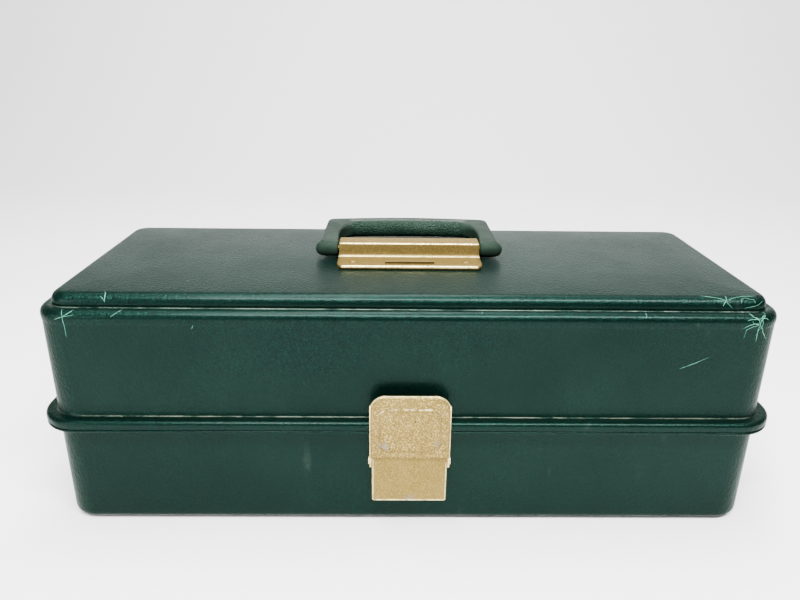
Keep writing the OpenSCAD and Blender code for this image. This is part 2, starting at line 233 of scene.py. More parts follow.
def joined(parts):
    """One list of vertices and faces from several."""
    verts, faces = [], []
    for v, f in parts:
        base = len(verts)
        verts += list(v)
        faces += [tuple(base + i for i in face) for face in f]
    return verts, faces


def prism(points, axis, low, high):
    """Closed prism from a flat outline of (y, z) points along axis x, or of (x, y) points along z."""
    if axis == "x":
        return lofted([[(t, y, z) for y, z in points] for t in (low, high)])
    return lofted([[(x, y, t) for x, y in points] for t in (low, high)])


# ---------------------------------------------------------------- node helpers

class Nodes:
    """Short calls for building one node material."""

    def __init__(self, name, slot):
        self.material = bpy.data.materials.new(name)
        self.material["slot"] = slot
        self.material.use_nodes = True
        self.tree = self.material.node_tree
        self.shader = self.tree.nodes["Principled BSDF"]
        self.place = self.add("ShaderNodeTexCoord").outputs["Object"]

    def add(self, kind, **settings):
        node = self.tree.nodes.new(kind)
        for key, value in settings.items():
            setattr(node, key, value)
        return node

    def link(self, a, b):
        self.tree.links.new(a, b)

    def feed(self, socket, value):
        if isinstance(value, bpy.types.NodeSocket):
            self.link(value, socket)
        else:
            socket.default_value = value

    def noise(self, scale, detail=4.0, rough=0.55, stretch=(1, 1, 1), distort=0.0):
        mapping = self.add("ShaderNodeMapping")
        mapping.inputs["Scale"].default_value = stretch
        self.link(self.place, mapping.inputs["Vector"])
        tex = self.add("ShaderNodeTexNoise")
        tex.inputs["Scale"].default_value = scale
        tex.inputs["Detail"].default_value = detail
        tex.inputs["Roughness"].default_value = rough
        tex.inputs["Distortion"].default_value = distort
        self.link(mapping.outputs[0], tex.inputs["Vector"])
        return tex.outputs[0]

    def cells(self, scale, feature="F1", stretch=(1, 1, 1)):
        mapping = self.add("ShaderNodeMapping")
        mapping.inputs["Scale"].default_value = stretch
        self.link(self.place, mapping.inputs["Vector"])
        tex = self.add("ShaderNodeTexVoronoi", feature=feature)
        tex.inputs["Scale"].default_value = scale
        self.link(mapping.outputs[0], tex.inputs["Vector"])
        return tex.outputs["Distance"]

    def math(self, operation, a, b=0.0, clamp=False):
        node = self.add("ShaderNodeMath", operation=operation, use_clamp=clamp)
        self.feed(node.inputs[0], a)
        self.feed(node.inputs[1], b)
        return node.outputs[0]

    def ramp(self, value, low, high, to_low=0.0, to_high=1.0):
        node = self.add("ShaderNodeMapRange", interpolation_type="SMOOTHSTEP")
        self.feed(node.inputs["Value"], value)
        node.inputs["From Min"].default_value = low
        node.inputs["From Max"].default_value = high
        node.inputs["To Min"].default_value = to_low
        node.inputs["To Max"].default_value = to_high
        return node.outputs["Result"]

    def mix(self, factor, a, b):
        node = self.add("ShaderNodeMix", data_type="RGBA")
        self.feed(node.inputs["Factor"], factor)
        self.feed(node.inputs["A"], a)
        self.feed(node.inputs["B"], b)
        return node.outputs["Result"]

    def axes(self):
        node = self.add("ShaderNodeSeparateXYZ")
        self.link(self.place, node.inputs[0])
        return node.outputs

    def band(self, value, centre, half, soft):
        """1 where value lies within half of centre, fading over soft."""
        away = self.math("ABSOLUTE", self.math("SUBTRACT", value, centre))
        return self.ramp(away, half, half + soft, 1.0, 0.0)

    def bump(self, height, strength, distance, below=None):
        node = self.add("ShaderNodeBump")
        node.inputs["Strength"].default_value = strength
        node.inputs["Distance"].default_value = distance
        self.feed(node.inputs["Height"], height)
        if below is not None:
            self.link(below, node.inputs["Normal"])
        return node.outputs[0]

    def done(self, color, roughness, normal, **fixed):
        self.feed(self.shader.inputs["Base Color"], color)
        self.feed(self.shader.inputs["Roughness"], roughness)
        self.link(normal, self.shader.inputs["Normal"])
        for key, value in fixed.items():
            self.shader.inputs[key.replace("_", " ")].default_value = value
        return self.material


def rgb(r, g, b):
    """Linear colour from the 0 to 255 values seen on a screen."""
    def linear(v):
        v /= 255
        return v / 12.92 if v <= 0.04045 else ((v + 0.055) / 1.055) ** 2.4
    return (linear(r), linear(g), linear(b), 1.0)


# ---------------------------------------------------------------- materials

def rounded_distance(n, u, v, half_u, half_v, r):
    """How far a place lies outside a rounded rectangle about the origin of u and v."""
    qu = n.math("SUBTRACT", n.math("ABSOLUTE", u), (half_u - r) * MM)
    qv = n.math("SUBTRACT", n.math("ABSOLUTE", v), (half_v - r) * MM)
    pu, pv = n.math("MAXIMUM", qu, 0.0), n.math("MAXIMUM", qv, 0.0)
    round_part = n.math("SQRT", n.math("ADD", n.math("MULTIPLY", pu, pu), n.math("MULTIPLY", pv, pv)))
    flat_part = n.math("MINIMUM", n.math("MAXIMUM", qu, qv), 0.0)
    return n.math("SUBTRACT", n.math("ADD", round_part, flat_part), r * MM)


def green_case_material():
    """Pearly dark green moulded plastic: fine grain, dust in the seams, a pale line on the ledge that is dust
    and painted highlight, scuffs and specks.
    """
    n = Nodes("pearl_green", "green_case")
    axes = n.axes()
    base = n.mix(n.ramp(n.noise(9, 3, 0.6), 0.35, 0.7), rgb(2, 14, 11), rgb(5, 20, 16))
    base = n.mix(n.ramp(n.noise(3200, 2, 0.7), 0.5, 0.72, 0.0, 0.3), base, rgb(36, 102, 84))
    scuff = n.math("MULTIPLY", n.ramp(n.noise(38, 6, 0.75, (1, 1, 0.35)), 0.58, 0.78),
                   n.ramp(n.noise(5, 2), 0.45, 0.65))
    base = n.mix(n.math("MULTIPLY", scuff, 0.16), base, rgb(110, 130, 120))
    speck = n.ramp(n.cells(130), 0.05, 0.07, 1.0, 0.0)
    rare = n.ramp(n.noise(60, 2), 0.67, 0.7)
    base = n.mix(n.math("MULTIPLY", n.math("MULTIPLY", speck, rare), 0.6), base, rgb(150, 170, 158))
    outside = rounded_distance(n, axes[0], axes[1], CASE_HALF_W, CASE_HALF_D, CORNER_R)
    dust_and_highlight_noise = n.ramp(n.noise(90, 5, 0.7, (1, 1, 3)), 0.36, 0.62)
    seam = n.math("MULTIPLY", n.band(axes[2], (RIM_TOP + 0.1) * MM, 0.0003, 0.0004), dust_and_highlight_noise)
    seam = n.math("MULTIPLY", seam, n.band(outside, 0.0002, 0.0003, 0.0007))
    # Pale line on the ledge: dust, and a painted highlight where the ledge's top catches the light.
    ledge = n.math("MULTIPLY", n.band(axes[2], (LEDGE_Z - 0.3) * MM, 0.0002, 0.0004), dust_and_highlight_noise)
    ledge = n.math("MULTIPLY", ledge, n.band(outside, -(PANEL_INSET - 0.4) * MM, 0.0004, 0.0006))
    base = n.mix(n.math("MULTIPLY", seam, 0.3), base, rgb(112, 118, 104))
    # Paints the ledge line in: dust and painted highlight.
    base = n.mix(n.math("MULTIPLY", ledge, 0.3), base, rgb(112, 128, 114))
    rough = n.ramp(n.noise(22, 5, 0.7), 0.3, 0.75, 0.3, 0.38)
    grain = n.bump(n.cells(720, "SMOOTH_F1", (1, 1, 0.6)), 0.4, 0.0006)
    fine = n.bump(n.noise(1500, 3, 0.65, (1.4, 1.4, 0.6)), 0.45, 0.0003, grain)
    slow = n.bump(n.noise(26, 3, 0.5), 0.12, 0.002, fine)
    return n.done(base, rough, slow, Metallic=0.67, Specular_IOR_Level=0.1, Specular_Tint=rgb(178, 188, 183),
                  Coat_Weight=0.06, Coat_Roughness=0.2)


def handle_material():
    """Darker green plastic, pebbled on the grip's roll and smooth on its flat top and the legs."""
    n = Nodes("handle_green", "green_handle")
    axes = n.axes()
    across = n.band(axes[0], 0.0, GRIP_HALF_W * MM, 0.004)
    grip = n.math("MULTIPLY", across, n.ramp(axes[1], (GRIP_Y - 3.0) * MM, GRIP_Y * MM))
    before_flat = n.ramp(axes[1], (GRIP_Y + 7.5) * MM, (GRIP_Y + 10.5) * MM, 1.0, 0.12)
    roll = n.math("MULTIPLY", grip, before_flat)
    base = n.mix(n.ramp(n.noise(30, 4), 0.35, 0.7), rgb(17, 28, 22), rgb(24, 37, 30))
    base = n.mix(n.ramp(n.noise(1400, 2, 0.7), 0.55, 0.78, 0.0, 0.4), base, rgb(58, 76, 66))
    rub = n.math("MULTIPLY", n.ramp(n.noise(60, 5, 0.7), 0.55, 0.75), 0.2)
    base = n.mix(rub, base, rgb(74, 92, 83))
    base = n.mix(n.math("MULTIPLY", roll, 0.4), base, rgb(18, 38, 30))
    rough = n.ramp(n.noise(90, 4, 0.7), 0.3, 0.75, 0.5, 0.62)
    rough = n.math("SUBTRACT", rough, n.math("MULTIPLY", roll, 0.32))
    coarse = n.bump(n.math("MULTIPLY", n.cells(1050, "SMOOTH_F1"), roll), 1.0, 0.001)
    fine = n.bump(n.noise(1100, 3, 0.6), 0.2, 0.0002, coarse)
    return n.done(base, rough, fine, Metallic=0.08, Specular_IOR_Level=0.09, Specular_Tint=rgb(164, 172, 152))


# Where the latch's lacquer has chipped: x, z, how far it reaches and how strongly.
CHIPS = (
    (-15, 59, 6, 0.3), (15.5, 61, 5, 0.26), (17.5, 79.5, 4, 0.2), (-16.5, 80, 3, 0.2),
    (1, 21, 9, 0.24), (19, 31, 4, 0.2), (18, 21, 5, 0.22), (-18, 22, 4, 0.2),
)


def edge_glints_and_wear(n, axes):
    """Painted highlights where the folds of the bracket and the edges of the cover and channel catch the
    light, standing also for lacquer rubbed bright.
    """
    def line(y, half_y, z, half_z):
        """A line along x, from its place in the bracket's section."""
        return n.math("MULTIPLY", n.band(axes[1], (AXLE_Y + y) * MM, half_y * MM, 0.0003),
                      n.band(axes[2], z * MM, half_z * MM, 0.0003))

    hump_edge = line(-6.45, 0.35, 155.6, 0.35)
    hump_foot = line(-8.1, 0.3, FLANGE_Z + 0.25, 0.3)
    flange_edge = line(-26.3, 0.25, FLANGE_Z - 0.6, 0.5)
    folds = n.math("MAXIMUM", n.math("MAXIMUM", hump_edge, hump_foot), flange_edge)

    half_h = 40.0
    height = n.math("SUBTRACT", axes[2], (LEVER_TOP - half_h) * MM)
    edge = rounded_distance(n, axes[0], height, LEVER_HALF_W, half_h, LEVER_CORNER_R)
    above_low = n.ramp(axes[2], (LEVER_LOW - 0.1) * MM, (LEVER_LOW + 0.3) * MM)
    on_face = n.ramp(axes[1], (COVER_Y + 0.6) * MM, (COVER_Y + 1.1) * MM, 1.0, 0.3)
    below_lid_top = n.ramp(axes[2], (LEVER_TOP + 9.8) * MM, (LEVER_TOP + 14.8) * MM, 1.0, 0.0)
    cover = n.math("MULTIPLY", n.ramp(edge, -0.0006, -0.0002), above_low)
    cover = n.math("MULTIPLY", n.math("MULTIPLY", cover, on_face), below_lid_top)

    away = n.math("ABSOLUTE", axes[0])
    sides = n.ramp(away, (CHANNEL_HALF_W - 1.1) * MM, (CHANNEL_HALF_W - 0.7) * MM)
    foot = n.ramp(axes[2], (CHANNEL_LOW + 0.6) * MM, (CHANNEL_LOW + 1.1) * MM, 1.0, 0.0)
    below_cover = n.ramp(axes[2], (LEVER_LOW - 0.5) * MM, (LEVER_LOW - 0.1) * MM, 1.0, 0.0)
    channel = n.math("MULTIPLY", n.math("MAXIMUM", sides, foot), below_cover)

    latch = n.math("MULTIPLY", n.math("MAXIMUM", cover, channel), 0.8)
    patchy = n.ramp(n.noise(300, 4, 0.7), 0.36, 0.5, 0.35, 1.0)
    return n.math("MULTIPLY", n.math("MAXIMUM", folds, latch), patchy)


def gold_speckle(n, axes):
    """Lacquer with light and dark flecks, plainer on the channel, and darker on the bracket: painted shade
    that tones down the light on its upward faces.
    """
    speckled = n.ramp(axes[2], (LEVER_LOW - 0.2) * MM, (LEVER_LOW + 0.1) * MM, 0.35, 1.0)
    base = n.mix(n.ramp(n.noise(45, 5, 0.65), 0.3, 0.72), rgb(106, 88, 40), rgb(117, 98, 49))
    light = n.math("MULTIPLY", n.ramp(n.noise(1150, 3, 0.75), 0.5, 0.64), speckled)
    base = n.mix(n.math("MULTIPLY", light, 0.75), base, rgb(196, 173, 104))
    dark = n.math("MULTIPLY", n.ramp(n.noise(1000, 3, 0.8, (1.1, 1.1, 1)), 0.52, 0.64), speckled)
    base = n.mix(n.math("MULTIPLY", dark, 0.75), base, rgb(84, 66, 34))
    # Painted shade: the bracket's lacquer is darkened to tone down the light its upward faces catch.
    bracket_painted_shade = n.ramp(axes[2], (TOP_Z - 4.7) * MM, (TOP_Z - 3.7) * MM, 0.0, 0.75)
    return n.mix(bracket_painted_shade, base, rgb(82, 68, 34))


def pad_outline(n, axes, base):
    """The step round the cover's pad: shaded, with a broken glint along the top."""
    height = n.math("SUBTRACT", axes[2], PAD_Z * MM)
    edge = rounded_distance(n, axes[0], height, PAD_HALF_W, PAD_HALF_H, PAD_R)
    on_face = n.ramp(axes[1], (COVER_Y + 0.6) * MM, (COVER_Y + 1.0) * MM, 1.0, 0.0)
    step = n.math("MULTIPLY", n.band(edge, 0.0, 0.0002, 0.0005), on_face)
    pad_top = PAD_Z + PAD_HALF_H
    low_part = n.ramp(axes[2], (pad_top - 3.8) * MM, (pad_top - 0.8) * MM, 1.0, 0.0)
    base = n.mix(n.math("MULTIPLY", n.math("MULTIPLY", step, low_part), 0.5), base, rgb(88, 70, 40))
    top_part = n.math("MULTIPLY", n.math("SUBTRACT", 1.0, low_part), n.ramp(n.noise(260, 3), 0.42, 0.56))
    return n.mix(n.math("MULTIPLY", n.math("MULTIPLY", step, top_part), 0.8), base, rgb(238, 218, 160))


def chipped(n, axes):
    """Chips in the lacquer, most of them gathered round a few places on the latch."""
    near = 0.0
    for x, z, size, most in CHIPS:
        dx = n.math("SUBTRACT", axes[0], x * MM)
        dz = n.math("SUBTRACT", axes[2], z * MM)
        far = n.math("SQRT", n.math("ADD", n.math("MULTIPLY", dx, dx), n.math("MULTIPLY", dz, dz)))
        near = n.math("MAXIMUM", near, n.ramp(far, 0.0, size * MM, most, 0.0))
    return n.ramp(n.math("ADD", n.noise(420, 5, 0.75), near), 0.68, 0.76)


def bar_shade_and_grime(n, axes):
    """Painted shade, with dirt, along the front foot of the blank bar."""
    low = n.band(axes[2], (BAR_TOP - 0.8) * MM, 0.0006, 0.0002)
    foot_shade_and_grime = n.math("MULTIPLY", n.band(axes[1], (BAR_FRONT_Y + 0.1) * MM, 0.0002, 0.0002), low)
    return n.math("MULTIPLY", foot_shade_and_grime, n.band(axes[0], 0.0, (BAR_HALF_W + 0.2) * MM, 0.0003))


def gold_material():
    """Speckled gold lacquer on steel, chipped to grey at the worn spots, with painted highlights along its
    folds and edges.
    """
    n = Nodes("gold_lacquer", "gold_metal")
    axes = n.axes()
    base = pad_outline(n, axes, gold_speckle(n, axes))
    chips = chipped(n, axes)
    base = n.mix(n.math("MULTIPLY", chips, 0.7), base, rgb(116, 109, 106))
    # Painted shade, with dirt, along the front of the blank bar.
    base = n.mix(n.math("MULTIPLY", bar_shade_and_grime(n, axes), 0.8), base, rgb(52, 42, 24))
    pits = n.ramp(n.noise(520, 2, 0.5), 0.72, 0.74)
    base = n.mix(pits, base, rgb(48, 42, 34))
    # Painted highlights along the folds and edges, also standing for rubbed lacquer.
    edge_glint_and_wear = edge_glints_and_wear(n, axes)
    base = n.mix(edge_glint_and_wear, base, rgb(240, 220, 158))
    rough = n.ramp(n.noise(240, 4, 0.7), 0.3, 0.75, 0.34, 0.5)
    rough = n.math("SUBTRACT", rough, n.math("MULTIPLY", edge_glint_and_wear, 0.12))
    grit = n.bump(n.noise(1100, 3, 0.7), 0.4, 0.00035)
    dents = n.bump(n.noise(55, 3, 0.5), 0.18, 0.0015, grit)
    edge = n.bump(n.math("MULTIPLY", chips, -1.0), 0.3, 0.0002, dents)
    return n.done(base, rough, edge, Metallic=0.55, Specular_IOR_Level=0.22,
                  Specular_Tint=rgb(236, 212, 150))


def steel_material():
    """Zinc-plated steel with a faint spangle and brushed streaks."""
    n = Nodes("plated_steel", "plated_steel")
    base = n.mix(n.ramp(n.noise(60, 4), 0.3, 0.7), rgb(150, 152, 156), rgb(186, 188, 190))
    stain = n.ramp(n.noise(140, 5, 0.75), 0.6, 0.78)
    base = n.mix(n.math("MULTIPLY", stain, 0.4), base, rgb(122, 110, 92))
    rough = n.ramp(n.noise(180, 4, 0.7, (1, 6, 1)), 0.3, 0.75, 0.24, 0.42)
    brushed = n.bump(n.noise(700, 3, 0.6, (1, 0.15, 0.15)), 0.16, 0.0002)
    return n.done(base, rough, brushed, Metallic=1.0)


def tray_material():
    """Satin sea-green moulded plastic with faint flow marks and pale rubbed patches."""
    n = Nodes("tray_green", "tray_plastic")
    flow = n.noise(14, 4, 0.6, (0.4, 1, 1), 0.6)
    base = n.mix(n.ramp(flow, 0.3, 0.7), rgb(74, 112, 98), rgb(88, 126, 110))
    base = n.mix(n.math("MULTIPLY", n.ramp(n.noise(90, 6, 0.75), 0.6, 0.8), 0.3), base, rgb(142, 160, 146))
    rough = n.ramp(n.noise(40, 5, 0.7), 0.3, 0.75, 0.34, 0.52)
    texture = n.bump(n.noise(800, 3, 0.6), 0.2, 0.0002)
    sink = n.bump(n.noise(18, 2, 0.4), 0.1, 0.003, texture)
    return n.done(base, rough, sink, Metallic=0.0, Coat_Weight=0.08, Coat_Roughness=0.3)


def crack_material():
    """Pale stress marks where the plastic has crazed."""
    n = Nodes("stress_marks", "green_case")
    base = n.mix(n.ramp(n.noise(400, 4), 0.3, 0.7), rgb(40, 104, 84), rgb(78, 148, 124))
    normal = n.bump(n.noise(900, 2), 0.2, 0.0002)
    return n.done(base, 0.5, normal, Metallic=0.1)


GREEN = green_case_material()
HANDLE = handle_material()
GOLD = gold_material()
STEEL = steel_material()
TRAY = tray_material()
CRACK = crack_material()


# ---------------------------------------------------------------- lid and base shells

def lid_profile():
    """From the middle of the inside, over the rim, to the middle of the top."""
    inside = [(70, LID_INSIDE_Z), (40, LID_INSIDE_Z), (18, LID_INSIDE_Z)]
    inside += arc(12.2, LID_INSIDE_Z - 3.3, 3.3, 90, 180, 5)
    under_ledge = LEDGE_Z - 6.3
    inside += [(8.9, under_ledge + 5.8), (8.3, under_ledge + 4.8), (7.3, under_ledge + 4.1)]
    inside += arc(WALL + 4.0, under_ledge, 4.0, 90, 180, 5)
    bottom = [(WALL, PART_Z + 0.3), (WALL + 0.2, PART_Z + 0.12), (-RIM_OUT + 0.9, PART_Z + 0.1)]
    inside += steps_between((WALL, under_ledge), bottom[0], 8)
    rim = arc(-RIM_OUT + 0.8, PART_Z + 0.9, 0.8, 270, 180, 4)
    rim += arc(-RIM_OUT + 2.4, RIM_TOP - 2.4, 2.4, 180, 90, 7)
    seam = [(-1.0, RIM_TOP), (-0.35, RIM_TOP + 0.05), (-0.05, RIM_TOP + 0.35)]
    wall = steps_between((0, RIM_TOP + 0.6), (0, LEDGE_Z - 10.0), 12)
    wall += [(0, LEDGE_Z - 8.6), (-0.05, LEDGE_Z - 8.0), (-0.2, LEDGE_Z - 7.3), (-0.34, LEDGE_Z - 6.4)]
    roll = arc(ROLL_R - 0.4, LEDGE_Z - ROLL_R, ROLL_R, 180, 96, 12)
    groove = [(PANEL_INSET - 1.3, LEDGE_Z - 0.1), (PANEL_INSET - 0.7, LEDGE_Z - 0.45)]
    groove += [(PANEL_INSET - 0.2, LEDGE_Z - 0.4), (PANEL_INSET, LEDGE_Z + 0.1)]
    side = steps_between(groove[-1], (PANEL_INSET - 0.15, EDGE_Z - PANEL_R), 3)
    panel = arc(PANEL_INSET - 0.15 + PANEL_R, EDGE_Z - PANEL_R, PANEL_R, 180, 90, 14)
    crown = [(18, EDGE_Z + 0.2), (26, EDGE_Z + 0.45), (36, EDGE_Z + 0.65), (46, TOP_Z), (70, TOP_Z)]
    return inside + bottom + rim + seam + wall + roll + groove + side + panel + crown


def base_profile():
    """From the middle of the floor, over the thin rim, to the middle of the underside."""
    inside = [(70, 2.5), (30, 2.5), (11, 2.5), (9.9, 2.7), (9.5, 3.2), (9.4, 5.2), (8.8, 5.6)]
    inside += [(5, 5.9), (3.4, 6.5), (2.7, 7.6), (WALL, 9.5)]
    top = [(WALL, PART_Z - 0.3), (WALL + 0.05, PART_Z - 0.1), (-RIM_OUT + 0.5, PART_Z - 0.08)]
    inside += steps_between(inside[-1], top[0], 7)
    rim = [(-RIM_OUT + 0.2, PART_Z - 0.2), (-RIM_OUT, PART_Z - 0.5), (-RIM_OUT, PART_Z - 1.1)]
    rim += [(-RIM_OUT + 0.25, PART_Z - 1.65), (-RIM_OUT + 0.9, PART_Z - 2.0)]
    under = [(-1.2, PART_Z - 2.05), (-0.35, PART_Z - 2.25), (0, PART_Z - 2.8)]
    foot = [(0, 5.6), (0.25, 4.2), (0.8, 3.3), (1.7, 3.0), (6.4, 3.0), (6.9, 2.7), (7.0, 2.2)]
    wall = steps_between(under[-1], foot[0], 12)
    foot += [(7.0, 0.5), (7.3, 0.1), (7.8, 0.0), (30, 0.0), (70, 0.0)]
    return inside + top + rim + under + wall + foot


def knuckle(x, upper):
    """One hinge knuckle and the web that joins it to the rim."""
    root = CASE_HALF_D + RIM_OUT - 2.2
    section = arc(HINGE_Y, 0.0, KNUCKLE_R, -90, 90, 12)
    section += [(root, KNUCKLE_R), (root, 0.1), (HINGE_Y - 3.1, 0.1), (HINGE_Y - 2.2, -2.3)]
    sign = 1 if upper else -1
    points = [(y, PART_Z + sign * z) for y, z in section]
    return prism(points, "x", x - KNUCKLE_L / 2, x + KNUCKLE_L / 2)


def knuckles(name, first, upper, body):
    """Every other knuckle of each hinge station, as one piece."""
    parts = [knuckle(h + k * KNUCKLE_PITCH, upper) for h in HINGE_XS for k in range(first, 3, 2)]
    return bevel(new_piece(name, *joined(parts), body, GREEN), 0.35, 2)


def stroke(skin, start, heading, length, width, bend, rng):
    """A thin tapering mark that wanders over the shell's surface."""
    row, turn = start
    steps = max(6, int(length / 0.7))
    verts, faces = [], []
    for i in range(steps + 1):
        t = i / steps
        here, out = skin.point(row, turn), skin.normal(row, turn)
        d_row = skin.point(row + 0.2, turn) - here
        d_turn = skin.point(row, turn + 0.2) - here
        ahead = d_row.normalized() * math.sin(heading) + d_turn.normalized() * math.cos(heading)
        taper = math.sin(math.pi * min(1.0, 0.12 + 0.88 * t)) ** 0.6
        side = out.cross(ahead).normalized() * width * 0.5 * taper
        foot, ridge = here + out * 0.02, here + out * 0.11
        verts += [tuple(foot - side), tuple(ridge), tuple(foot + side)]
        pace = length / steps
        row += pace * math.sin(heading) * 0.2 / max(d_row.length, 1e-4)
        turn += pace * math.cos(heading) * 0.2 / max(d_turn.length, 1e-4)
        row = max(skin.first, min(row, skin.last))
        heading += bend / steps + rng.uniform(-0.06, 0.06)
    for i in range(steps):
        a = 3 * i
        faces += [(a, a + 3, a + 4, a + 1), (a + 1, a + 4, a + 5, a + 2)]
    return verts, faces


# Marks in the lid's plastic: steps above the top of the wall, x, heading in degrees, length,
# width and how far it bends on the way.
MARKS = (
    # crazing at the right corner of the lid
    (4, 188.5, -50, 10, 0.34, -0.2), (4, 188.5, 114, 8, 0.36, 0.3), (4, 188.5, 173, 8.5, 0.28, 0.9),
    (4, 184.0, 215, 7, 0.2, 0.3), (4, 188.5, -100, 5, 0.26, 0.2), (5, 188.5, 62, 6, 0.3, -0.6),
    (9, 191.0, 15, 5, 0.3, -1.2), (9, 191.0, 185, 6, 0.26, 0.4), (9, 191.0, 52, 4, 0.28, -0.8),
    (9, 193.0, -70, 8, 0.2, -1.4), (7, 186.0, 20, 9, 0.18, 1.0), (3, 192.0, 160, 6, 0.18, -0.8),
    # hair lines on the panel above it
    (30, 166, 158, 14, 0.2, 0.5), (30, 166, 225, 4, 0.3, 0.2), (30, 166, 25, 18, 0.18, -0.6),
    (30, 166, 80, 4, 0.3, 0.3), (29, 166, -60, 5, 0.24, 0.4), (30, 165, 190, 6, 0.2, -0.5),
    (28, 186, 90, 10, 0.16, 3.9), (24, 176, 4, 12, 0.16, 0.3),
    # crazing at the left corner, and a forked mark on the panel
    (7, -197, 100, 5, 0.24, 0.3), (7, -197, 28, 7, 0.24, 0.5), (7, -197, 196, 6, 0.26, 0.2),
    (7, -197, -84, 8, 0.22, 0.2), (8, -195, 55, 4, 0.2, -0.7), (6, -199, 20, 8, 0.16, -0.4),
    (25, -176, 82, 8, 0.28, 0.3), (26, -176, 118, 4, 0.2, 0.6), (7, -171, 38, 7, 0.22, 0.2),
    # stray nicks and the scratch on the front wall
    (-0.2, -128, 60, 2, 0.24, 0.0), (12, 30, 75, 3, 0.18, 0.4), (9, 120, 80, 4, 0.2, 0.5),
    (-5, 143, 25, 17, 0.18, 0.0),
)


def stress_marks(profile):
    """Crazing at the lid's two front corners, hair lines, stray nicks and one scratch."""
    misses = [abs(z - LEDGE_Z + 10) + abs(inset) * 9 for inset, z in profile]
    wall_top = misses.index(min(misses))
    skin = Skin(profile, wall_top - 12, len(profile) - 8)
    front = 3 * (CORNER_STEPS + 1) + LONG_STEPS + SHORT_STEPS - 2
    straight = CASE_HALF_W - CORNER_R
    rng = random.Random(11)
    parts = []
    for row, x, heading, length, width, bend in MARKS:
        turn = front + (x + straight) / (2 * straight) * LONG_STEPS
        parts.append(stroke(skin, (wall_top + row, turn), math.radians(heading), length, width, bend, rng))
    new_piece("stress_marks", *joined(parts), "lid", CRACK)


new_piece("lid_moulding", *lofted(shell_rings(lid_profile())), "lid", GREEN, ["lid_shell"])
new_piece("base_moulding", *lofted(shell_rings(base_profile())), "base", GREEN, ["base_shell"])
knuckles("lid_knuckles", -1, True, "lid")
knuckles("base_knuckles", -2, False, "base")
stress_marks(lid_profile())


# ---------------------------------------------------------------- handle and its bracket

def smooth_step(t):
    """From 0 to 1 with no corner at either end."""
    t = min(1.0, max(0.0, t))
    return t * t * (3 - 2 * t)


def blend_points(points, t):
    """A smooth curve through points of equal spacing in t, from 0 to 1."""
    last = len(points) - 1
    k = min(int(t * last), last - 1)
    f = t * last - k
    p = [points[max(k - 1, 0)], points[k], points[k + 1], points[min(k + 2, last)]]
    out = []
    for a, b, c, d in zip(*p):
        out.append(b + 0.5 * f * (c - a + f * (2 * a - 5 * b + 4 * c - d + f * (3 * (b - c) + d - a))))
    return out


def handle_section(outer, inner, low, high, crisp, soft):
    """Closed section from the outer edge over the top to the inner edge and back underneath."""
    across = Vector(inner) - Vector(outer)
    width = across.length
    direction = across.normalized()
    shape = []
    for cx, cz, r, start in (
        (crisp, high - crisp, crisp, 180),
        (width - soft, high - soft, soft, 90),
        (width - soft, low + soft, soft, 0),
        (3.0, low + 3.0, 3.0, 270),
    ):
        for i in range(7):
            a = math.radians(start - 90 * i / 6)
            shape.append((cx + r * math.cos(a), cz + r * math.sin(a)))
    return [(outer[0] + direction.x * u, outer[1] + direction.y * u, z) for u, z in shape]


def handle():
    """Folded strap: legs from the bosses, tight outer corners, wide inner corners, bowed grip."""
    outer = [(57.0, -3.0), (56.7, 10.0), (56.3, 24.0), (55.9, 38.0), (55.6, 46.0), (54.4, 50.0),
             (50.0, 51.3), (40.0, 51.9), (27.0, 52.7), (13.0, 53.2), (0.0, 53.4)]
    inner = [(45.2, -3.0), (45.6, 6.0), (45.8, 14.0), (45.2, 22.0), (43.4, 29.0), (40.2, 34.6),
             (36.0, 38.2), (29.0, 39.2), (20.0, 39.3), (10.0, 39.3), (0.0, 39.3)]
    boss = [(45.0, 4.2), (45.4, 4.75), (46.0, 4.9), (53.2, 4.9), (55.4, 4.7), (57.2, 4.1),
            (58.5, 3.1), (59.2, 1.8), (59.5, 0.5)]
    steps = 44
    sections = []
    for k in range(-steps, steps + 1):
        side = 1 if k <= 0 else -1
        t = 1 - abs(k) / steps
        grip = min(1.0, max(0.0, (t - 0.35) / 0.25))
        high = AXLE_Z + 4.8 + 1.4 * min(1.0, t / 0.4) + 0.6 * smooth_step((t - 0.5) / 0.5)
        low = AXLE_Z - 3.7 - 1.1 * grip
        crisp, soft = 1.6 + 0.6 * grip, 1.9 + 3.5 * grip
        section = handle_section(blend_points(outer, t), blend_points(inner, t), low, high, crisp, soft)
        sections.append([(x * side, y, z) for x, y, z in section])
    parts = [lofted(sections)]
    for side in (1, -1):
        parts.append(lathe_x([(x * side, r) for x, r in boss], (AXLE_Y, AXLE_Z)))
    return new_piece("carry_handle", *joined(parts), "handle", HANDLE, ["handle"])


def bracket_profile():
    """(y, z) along the pressed plate, from the front lip over the hump to the back lip."""
    half = [(BRACKET_HALF_D - 0.1, TOP_Z + 0.05), (BRACKET_HALF_D, FLANGE_Z - 1.2)]
    half += arc(BRACKET_HALF_D - 0.9, FLANGE_Z - 0.9, 0.9, 22.5, 90, 3)
    half += [(y, FLANGE_Z) for y in (24.0, 20.0, 16.0, 12.0)]
    half += [(8.6, 147.25), (7.9, 147.5), (7.35, 148.0), (7.05, 148.8), (6.85, 150.5), (6.7, 152.5)]
    half += [(6.55, 154.2), (6.4, 154.9), (6.0, 155.5), (5.4, HUMP_Z - 0.1)]
    half += [(y, HUMP_Z) for y in (4.6, 2.4, 0.0)]
    front = [(AXLE_Y - y, z) for y, z in half]
    back = [(AXLE_Y + y, z) for y, z in reversed(half[:-1])]
    return front + back


def bracket_half_width(y, z):
    """The plate is widest at its flanges, which have round corners, and waisted up the hump."""
    away = BRACKET_HALF_D - abs(y - AXLE_Y)
    r = 6.0
    corner = r - math.sqrt(max(0.0, r * r - (r - min(away, r)) ** 2))
    waist = 0.5 * min(1.0, max(0.0, (z - FLANGE_Z) / 4.0))
    return BRACKET_HALF_W - corner * 0.85 - waist


